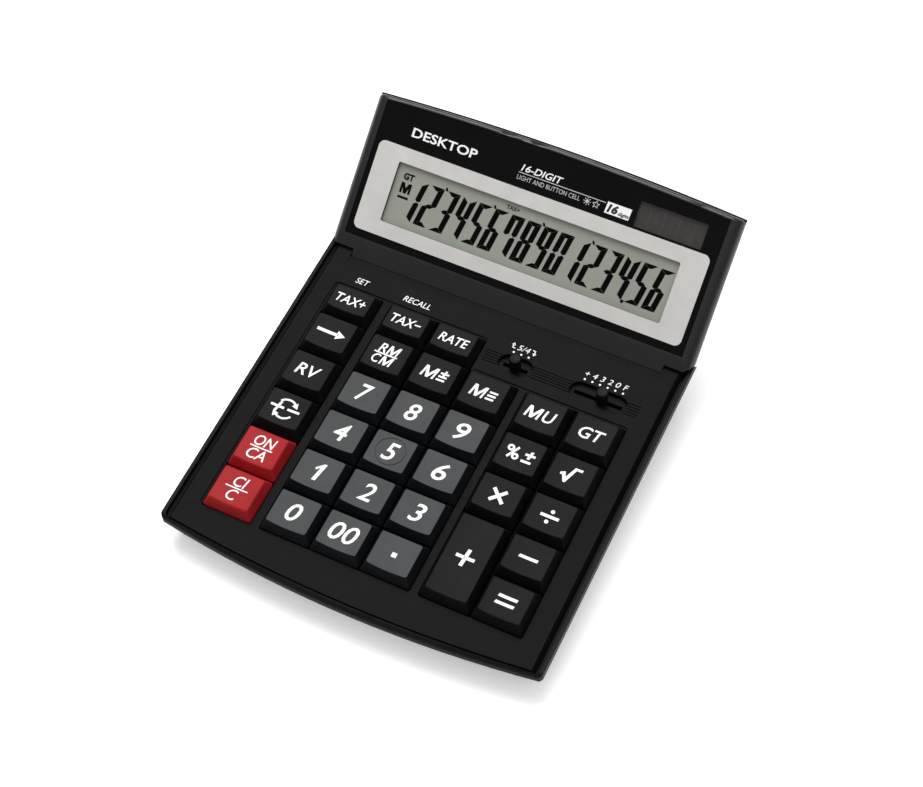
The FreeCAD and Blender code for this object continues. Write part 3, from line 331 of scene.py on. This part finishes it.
def add_words(art, words, x, y, height, width=None, bold=BOLD, slant=ITALIC):
    """Lettering centred on (x, y), as high as asked, and as wide if a width is given."""
    curve = bpy.data.curves.new("lettering", "FONT")
    curve.body = words
    curve.shear = slant
    curve.offset = bold
    curve.extrude = 1.0
    curve.resolution_u = 3
    holder = bpy.data.objects.new("lettering", curve)
    SCENE.collection.objects.link(holder)
    mesh = bpy.data.meshes.new_from_object(holder)
    bpy.data.objects.remove(holder)
    xs = [v.co.x for v in mesh.vertices]
    ys = [v.co.y for v in mesh.vertices]
    tall = height / (max(ys) - min(ys))
    wide = tall if width is None else width / (max(xs) - min(xs))
    for v in mesh.vertices:
        v.co.x = x + (v.co.x - (max(xs) + min(xs)) / 2) * wide
        v.co.y = y + (v.co.y - (max(ys) + min(ys)) / 2) * tall
    art.from_mesh(mesh)
    bpy.data.meshes.remove(mesh)


def add_m(art, x, y, height, width, stroke, slant=ITALIC):
    """A capital M, whose inner legs meet at the foot."""
    w, h = width / 2, height / 2
    leg = stroke * 1.15
    outline = [
        (-w, -h), (-w + stroke, -h), (-w + stroke, h - 1.7 * leg), (-leg / 2, -h), (leg / 2, -h),
        (w - stroke, h - 1.7 * leg), (w - stroke, -h), (w, -h), (w, h), (w - leg * 1.2, h),
        (0, -h + 1.9 * leg), (-w + leg * 1.2, h), (-w, h)
    ]
    add_shape(art, [(x + px, y + py) for px, py in slanted(outline, slant)])


def object_from(art, name, material, place=None):
    """A mesh object, in the plane's millimetres if one is given."""
    mesh = bpy.data.meshes.new(name)
    art.to_mesh(mesh)
    art.free()
    if place is not None:
        mesh.transform(place)
    mesh.materials.append(material)
    piece = bpy.data.objects.new(name, mesh)
    SCENE.collection.objects.link(piece)
    return piece


def printed(art, name, place, node, body, material, slot, rise=INK_RISE, strips=True):
    """Lays artwork on a node as a thin skin that follows its surface, and lets it ride."""
    bmesh.ops.remove_doubles(art, verts=art.verts[:], dist=1e-4)
    bmesh.ops.triangulate(art, faces=art.faces[:])
    low = min(v.co.x for v in art.verts)
    high = max(v.co.x for v in art.verts)
    if strips:
        for cut in range(1, int((high - low) / STRIP) + 1):
            everything = art.verts[:] + art.edges[:] + art.faces[:]
            across = (low + cut * STRIP, 0, 0)
            bmesh.ops.bisect_plane(art, geom=everything, plane_co=across, plane_no=(1, 0, 0))
    under = surface(node, place)
    for v in art.verts:
        hit = under.ray_cast(Vector((v.co.x, v.co.y, ABOVE)), Vector((0, 0, -1)))[0]
        if hit is None:
            raise RuntimeError(f"{name} reaches past {node}")
        v.co.z = hit.z + (rise if v.co.z > 0 else -INK_SINK)
    bmesh.ops.recalc_face_normals(art, faces=art.faces[:])
    piece = object_from(art, name, material, place)
    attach(piece, body)


# ---------------------------------------------------------------- key legends

# Heights of whole words, of one or two letters, and of figures.
WORD_HEIGHT = 3.9
LETTER_HEIGHT = 5.1
FIGURE_HEIGHT = 7.6
FIGURE_WIDTH = 5.3
SIGN_WIDTH = 7.2


def lettering(words, height, width, x=0.0):
    """A function that draws plain lettering."""
    return lambda art: add_words(art, words, x, 0.0, height, width)


def over_bar(art, upper, lower, widths):
    """One word over another with a line between them."""
    height = 4.5
    thin = 0.004
    add_words(art, upper, 0.3, 2.9, height, widths[0], thin)
    add_bar(art, 0.0, 0.0, 9.0, 0.5)
    add_words(art, lower, -0.4, -2.95, height, widths[1], thin)


def draw_memory_recall(art):
    """R and M over C and M, with a line between them."""
    height = 4.1
    for letter, x, y in (("R", -2.5, 2.5), ("C", -3.2, -2.65)):
        add_words(art, letter, x, y, height, 3.1)
        add_m(art, x + 4.35, y, height, 4.3, 0.66)
    add_bar(art, -0.4, 0.0, 9.4, 0.55)


def m_and_sign(art, plus):
    """M and three bars, the top one crossed to a plus if asked."""
    add_m(art, -2.1, 0.0, LETTER_HEIGHT, 5.4, 0.8)
    lean = ITALIC * 1.6
    for step in (1, 0, -1):
        add_bar(art, 3.3 + lean * step, -0.3 + 1.55 * step, 3.4, 0.8)
    if plus:
        add_bar(art, 3.3 + lean, 1.35, 0.85, 2.5, ITALIC)


def draw_mark_up(art):
    add_m(art, -2.9, 0.0, LETTER_HEIGHT, 5.5, 0.85)
    add_words(art, "U", 3.3, 0.0, LETTER_HEIGHT, 4.8)


def draw_arrow(art):
    line = 0.2
    add_bar(art, -1.4, line, 9.1, 1.3)
    add_arrowhead(art, 5.8, line, 0.0, 3.6, 3.9)


def draw_sign_change(art):
    """A plus and a minus inside two arrows that go round them."""
    line = 0.2
    add_bar(art, -3.2, line, 5.4, 0.95)
    add_bar(art, -2.9, line, 1.0, 4.6, ITALIC)
    add_bar(art, 3.4, line, 5.0, 0.95)
    for first, last, x, y, degrees in ((140, 50, 4.3, 1.5, -45), (-35, -125, -3.9, -1.9, 135)):
        add_arc(art, 0.1, 0.1, 4.1, first, last, 0.8)
        add_arrowhead(art, x, y, degrees, 2.3, 2.6)


def draw_percent(art):
    """A percent sign and a plus over a minus."""
    stroke = 0.85
    add_ring(art, -4.1, 1.5, 0.95, stroke)
    add_ring(art, -1.5, -1.4, 0.95, stroke)
    add_stroke(art, (-4.3, -2.6), (-1.3, 2.7), stroke)
    plus_x, plus_y = 3.75, 0.95
    add_bar(art, plus_x, plus_y, 4.0, 1.0)
    add_bar(art, plus_x, plus_y, 1.1, 3.4, ITALIC)
    add_bar(art, 3.1, -2.1, 3.9, 1.0)


def draw_square_root(art):
    outline = [
        (-4.0, -0.3), (-2.3, 0.5), (-1.5, -1.6), (0.5, 3.3), (3.6, 3.3), (3.4, 2.3), (1.3, 2.3),
        (-1.0, -3.8), (-1.8, -3.8), (-3.1, -1.0), (-3.9, -1.3)
    ]
    add_shape(art, outline)


def draw_times(art):
    reach, line = 2.6, -0.3
    for end in (-1, 1):
        add_stroke(art, (-reach, line - reach * end), (reach, line + reach * end), 1.35)


def draw_divide(art):
    add_bar(art, 0.0, -0.4, 7.1, 1.2)
    for x, y in ((0.35, 1.85), (-0.35, -2.65)):
        add_disc(art, x, y, 0.78)


def draw_equals(art):
    for step in (-1, 1):
        add_bar(art, 0.1 * step, -0.1 + 1.4 * step, SIGN_WIDTH, 1.2, ITALIC)


def draw_plus(art):
    add_bar(art, 0.0, 0.0, SIGN_WIDTH, 1.3)
    add_bar(art, 0.0, 0.0, 1.4, SIGN_WIDTH, ITALIC / 2)


def draw_one(art):
    """The figure 1 has a flag and no foot."""
    outline = [
        (-1.9, 1.3), (0.3, 3.75), (1.3, 3.75), (1.3, -3.75), (-0.15, -3.75), (-0.15, 1.9),
        (-1.3, 0.5)
    ]
    add_shape(art, slanted(outline, ITALIC))


LEGENDS = {
    "key_tax_plus": lettering("TAX+", WORD_HEIGHT, 12.4),
    "key_tax_minus": lettering("TAX−", WORD_HEIGHT, 12.4),
    "key_rate": lettering("RATE", WORD_HEIGHT, 12.0),
    "key_shift_right": draw_arrow,
    "key_memory_recall": draw_memory_recall,
    "key_memory_plus": lambda art: m_and_sign(art, True),
    "key_memory_minus": lambda art: m_and_sign(art, False),
    "key_mark_up": draw_mark_up,
    "key_grand_total": lettering("GT", LETTER_HEIGHT, 9.8),
    "key_reverse": lettering("RV", LETTER_HEIGHT, 9.6, x=-0.1),
    "key_percent": draw_percent,
    "key_square_root": draw_square_root,
    "key_sign_change": draw_sign_change,
    "key_multiply": draw_times,
    "key_divide": draw_divide,
    "key_plus": draw_plus,
    "key_minus": lambda art: add_bar(art, 0.1, -0.2, SIGN_WIDTH, 1.2, ITALIC),
    "key_equals": draw_equals,
    "key_on_clear_all": lambda art: over_bar(art, "ON", "CA", (8.4, 7.5)),
    "key_clear": lambda art: over_bar(art, "CI", "C", (5.4, 4.1)),
    "key_point": lambda art: add_bar(art, 0.0, -0.3, 1.9, 1.9),
    "key_00": lettering("00", FIGURE_HEIGHT, 10.8),
    **{"key_" + digit: lettering(digit, FIGURE_HEIGHT, FIGURE_WIDTH) for digit in "023456789"},
    "key_1": draw_one,
}


def draw_legends(finishes):
    """The legend of every key, over the middle of its top."""
    for key, draw in LEGENDS.items():
        art = bmesh.new()
        draw(art)
        printed(art, key + "_legend", on_node(key, DECK), key, key, finishes["white_ink"],
                NODES[key].data.materials[0].name)


# ---------------------------------------------------------------- marks on the cover and the head

# The switches' scales: the step between two stops, the dots, and how far above the knobs the dots
# and the marks are.
STOP_PITCH = 3.1
DOT_RADIUS = 0.42
DOT_LIFT = 5.35
MARK_LIFT = 8.05


def draw_cover_marks(finishes):
    """Words above the tax keys, and the switches' scales."""
    art = bmesh.new()
    line = extent("key_tax_plus", DECK)[1].y + 4.9
    for word, key, width in (("SET", "key_tax_plus", 5.5), ("RECALL", "key_tax_minus", 11.4)):
        add_words(art, word, extent(key, DECK)[0].x + 8.4, line, 2.55, width, 0.0)
    rounding, decimal = (
        sum(extent(f"{name}_switch_knob", DECK), Vector()) / 2 for name in ("rounding", "decimal")
    )
    for step in (-1, 0, 1):
        add_disc(art, rounding.x + STOP_PITCH * step, rounding.y + DOT_LIFT, DOT_RADIUS)
    height = rounding.y + MARK_LIFT
    add_words(art, "5/4", rounding.x, height, 2.5, 4.9, -0.004)
    for side in (-1, 1):
        x = rounding.x + 4.4 * side
        add_bar(art, x, height + 0.1 * side, 0.42, 1.9)
        add_bar(art, x - 0.45 * side, height + 0.9 * side, 1.32, 0.38)
        add_arrowhead(art, x, height - 1.45 * side, -90 * side, 1.15, 1.6)
    for step, mark in enumerate("+4320F"):
        x = decimal.x + STOP_PITCH * (step - 3)
        add_disc(art, x, decimal.y + DOT_LIFT, DOT_RADIUS)
        tall = 1.7 if mark == "+" else 2.4
        add_words(art, mark, x + 0.1, height, tall, 1.75, 0.0)
    printed(art, "cover_marks", DECK, "top_cover", "case", finishes["white_ink"], "cover_plastic")


# ---------------------------------------------------------------- display

DIGIT_WIDTH = 5.5
DIGIT_HEIGHT = 16.6
DIGIT_STROKE = 2.25
DIGIT_BAR = 1.65
DIGIT_GAP = 0.06
DIGIT_SLANT = 0.17
DIGIT_PITCH = 6.83

LIT = {
    "0": "abcdef", "1": "bc", "2": "abdeg", "3": "abcdg", "4": "bcfg",
    "5": "acdfg", "6": "acdefg", "7": "abcf", "8": "abcdefg", "9": "abcdfg",
}


def segment_shapes():
    """The seven segments of a digit, upright, about its middle."""
    w, h, t, b, g = DIGIT_WIDTH / 2, DIGIT_HEIGHT / 2, DIGIT_STROKE, DIGIT_BAR, DIGIT_GAP
    top = [(-w + g, h), (-w + t + g / 2, h - b), (w - t - g / 2, h - b), (w - g, h)]
    side = [(w, h - g), (w - t, h - b - g / 2), (w - t, b / 2 + g), (w - t / 2, g), (w, g + b / 3)]
    middle = [
        (-w + t / 2, 0), (-w + t, -b / 2), (w - t, -b / 2), (w - t / 2, 0), (w - t, b / 2),
        (-w + t, b / 2)
    ]
    left = [(-x, y) for x, y in reversed(side)]
    return {
        "a": top,
        "b": side,
        "c": [(x, -y) for x, y in reversed(side)],
        "d": [(x, -y) for x, y in reversed(top)],
        "e": [(x, -y) for x, y in reversed(left)],
        "f": left,
        "g": middle,
    }


def draw_display(finishes):
    """Sixteen slanted digits with thousands ticks and a point, and the flags about them."""
    art = bmesh.new()
    shapes = segment_shapes()
    low, high = extent("lcd_glass", HEAD)
    middle = (low + high) / 2
    line = middle.y - 0.7
    first = middle.x + 2.45 - 7.5 * DIGIT_PITCH
    lean = DIGIT_SLANT * DIGIT_HEIGHT / 2
    for place, digit in enumerate("1234567890123456"):
        x = first + place * DIGIT_PITCH
        for segment in LIT[digit]:
            corners = [(x + px, line + py) for px, py in shapes[segment]]
            add_shape(art, slanted(corners, DIGIT_SLANT, line))
    for place in (1, 4, 7, 10):
        x = first + (place + 0.5) * DIGIT_PITCH + lean
        add_bar(art, x, line + DIGIT_HEIGHT / 2 + 0.3, 0.9, 1.3, -0.4)
    point = first + 13.5 * DIGIT_PITCH - lean
    add_bar(art, point, line - DIGIT_HEIGHT / 2 - 0.2, 1.2, 1.2, DIGIT_SLANT)
    left = low.x + 7.75
    add_words(art, "GT", left, line + 8.1, 2.7, 4.4, 0.05, 0.0)
    add_m(art, left, line + 3.6, 4.1, 4.4, 0.95, 0.0)
    add_bar(art, left, line - 0.15, 4.5, 0.9)
    add_words(art, "TAX+", middle.x - 9.7, line + 10.4, 1.7, 5.4, 0.02, 0.0)
    printed(art, "display_digits", HEAD, "lcd_glass", "head", finishes["lcd_black"], "lcd",
            rise=0.05, strips=False)


def draw_panel_marks(finishes):
    """Plain words, the power symbols and the digits badge above the display."""
    white, silver, black = (finishes[name] for name in ("white_ink", "silver_ink", "black_ink"))
    panel = ("display_panel", "head")
    art = bmesh.new()
    add_words(art, "DESKTOP", -43.5, 55.0, 3.7, 27.5, 0.018, 0.0)
    add_words(art, "16-DIGIT", -2.9, 56.4, 2.7, 17.0, 0.014)
    printed(art, "panel_words", HEAD, *panel, white, "panel_gloss")
    art = bmesh.new()
    add_bar(art, 6.0, 54.35, 36.0, 0.3)
    add_words(art, "LIGHT AND BUTTON CELL", 1.0, 52.5, 1.8, 26.0, 0.0, 0.0)
    sun = Vector((17.0, 52.5))
    add_disc(art, *sun, 0.7)
    for ray in range(8):
        turned = math.pi * ray / 4
        ahead = Vector((math.cos(turned), math.sin(turned)))
        add_stroke(art, sun + ahead * 0.95, sun + ahead * 1.5, 0.28)
    star_x, star_y = 20.6, 52.4
    turns = [-math.pi * point / 5 for point in range(10)]
    outer, inner = (
        [(star_x + r * math.sin(a), star_y + r * math.cos(a)) for r, a in zip(radii, turns)]
        for radii in ([1.7, 0.8] * 5, [1.1, 0.5] * 5)
    )
    add_band(art, outer, inner)
    printed(art, "panel_small_marks", HEAD, *panel, silver, "panel_gloss")
    art = bmesh.new()
    badge_x, badge_y, w, h = 29.5, 52.9, 4.9, 2.2
    badge = slanted([(-w, -h), (w, -h), (w, h), (-w, h)], 0.06)
    add_shape(art, [(badge_x + x, badge_y + y) for x, y in badge])
    printed(art, "digits_badge", HEAD, *panel, white, "panel_gloss")
    art = bmesh.new()
    add_words(art, "16", 27.3, badge_y, 3.4, 4.3, 0.055)
    add_words(art, "digits", 32.0, 51.8, 1.8, 4.4, 0.03)
    printed(art, "digits_badge_words", HEAD, *panel, black, "panel_gloss",
            rise=2 * INK_RISE, strips=False)


def draw_solar_lines(finishes):
    """Gaps between the cells of the solar panel."""
    art = bmesh.new()
    low, high = extent("solar_cell", HEAD)
    cells = 5
    for line in range(1, cells):
        x = low.x + (high.x - low.x) * line / cells
        add_bar(art, x, (low.y + high.y) / 2, 0.18, high.y - low.y - 0.4)
    printed(art, "solar_cell_gaps", HEAD, "solar_cell", "head", finishes["cell_gap"], "solar",
            rise=0.02, strips=False)


# ---------------------------------------------------------------- stage, lights and camera

def make_floor():
    """A white floor that glows a little, which keeps the shadow on it faint."""
    art = bmesh.new()
    bmesh.ops.create_grid(art, x_segments=1, y_segments=1, size=3.0)
    paper = finish(
        "paper", grey(0.92), grey(0.95), (0.8, 0.95), grain=1.5, blotch=80.0,
        Emission_Color=(1.0, 1.0, 1.0, 1.0), Emission_Strength=0.35
    )
    floor = object_from(art, "floor", paper)


def soft_light(name, place, aim, size, power):
    """A square soft box that looks at a point."""
    light = bpy.data.lights.new(name, "AREA")
    light.size = size
    light.energy = power
    lamp = bpy.data.objects.new(name, light)
    lamp.location = place
    lamp.rotation_mode = "QUATERNION"
    lamp.rotation_quaternion = (Vector(aim) - Vector(place)).to_track_quat("-Z", "Y")
    SCENE.collection.objects.link(lamp)


def make_lights():
    """A sky that is bright overhead and dark at the horizon, and one soft box above and behind."""
    world = bpy.data.worlds.new("studio")
    world.use_nodes = True
    tree = world.node_tree
    back = tree.nodes["Background"]
    back.inputs["Strength"].default_value = 1.0
    place = tree.nodes.new("ShaderNodeTexCoord")
    height = tree.nodes.new("ShaderNodeSeparateXYZ")
    ramp = tree.nodes.new("ShaderNodeValToRGB")
    for element, level in zip(ramp.color_ramp.elements, (0.10, 0.95)):
        element.color = (level, level, level, 1.0)
    tree.links.new(place.outputs["Generated"], height.inputs["Vector"])
    tree.links.new(height.outputs["Z"], ramp.inputs["Fac"])
    tree.links.new(ramp.outputs["Color"], back.inputs["Color"])
    SCENE.world = world
    soft_light("overhead", place=(-0.3, 0.42, 1.15), aim=(0, 0, 0), size=0.9, power=15.0)


def make_camera():
    """The camera looks down on the calculator from its front right."""
    azimuth, elevation = math.radians(25.66), math.radians(54.43)
    target = Vector((1.03, 2.48, 20.72)) * MM
    distance = 737.0 * MM
    flat = math.cos(elevation)
    back = Vector((math.sin(azimuth) * flat, -math.cos(azimuth) * flat, math.sin(elevation)))
    right = Vector((math.cos(azimuth), math.sin(azimuth), 0))
    turned = Matrix((right, back.cross(right), back)).transposed().to_4x4()
    data = bpy.data.cameras.new("camera")
    data.lens = 76.8
    data.sensor_width = 36.0
    data.clip_start = 0.05
    camera = bpy.data.objects.new("camera", data)
    camera.matrix_world = Matrix.Translation(target + back * distance) @ turned
    SCENE.collection.objects.link(camera)
    SCENE.camera = camera


# ---------------------------------------------------------------- the scene

def main():
    make_camera()
    make_lights()
    make_floor()
    finishes = all_finishes()
    draw_legends(finishes)
    draw_cover_marks(finishes)
    draw_display(finishes)
    draw_panel_marks(finishes)
    draw_solar_lines(finishes)
    for node in NODES.values():
        node.data.materials[0] = finishes[node.data.materials[0].name]


main()
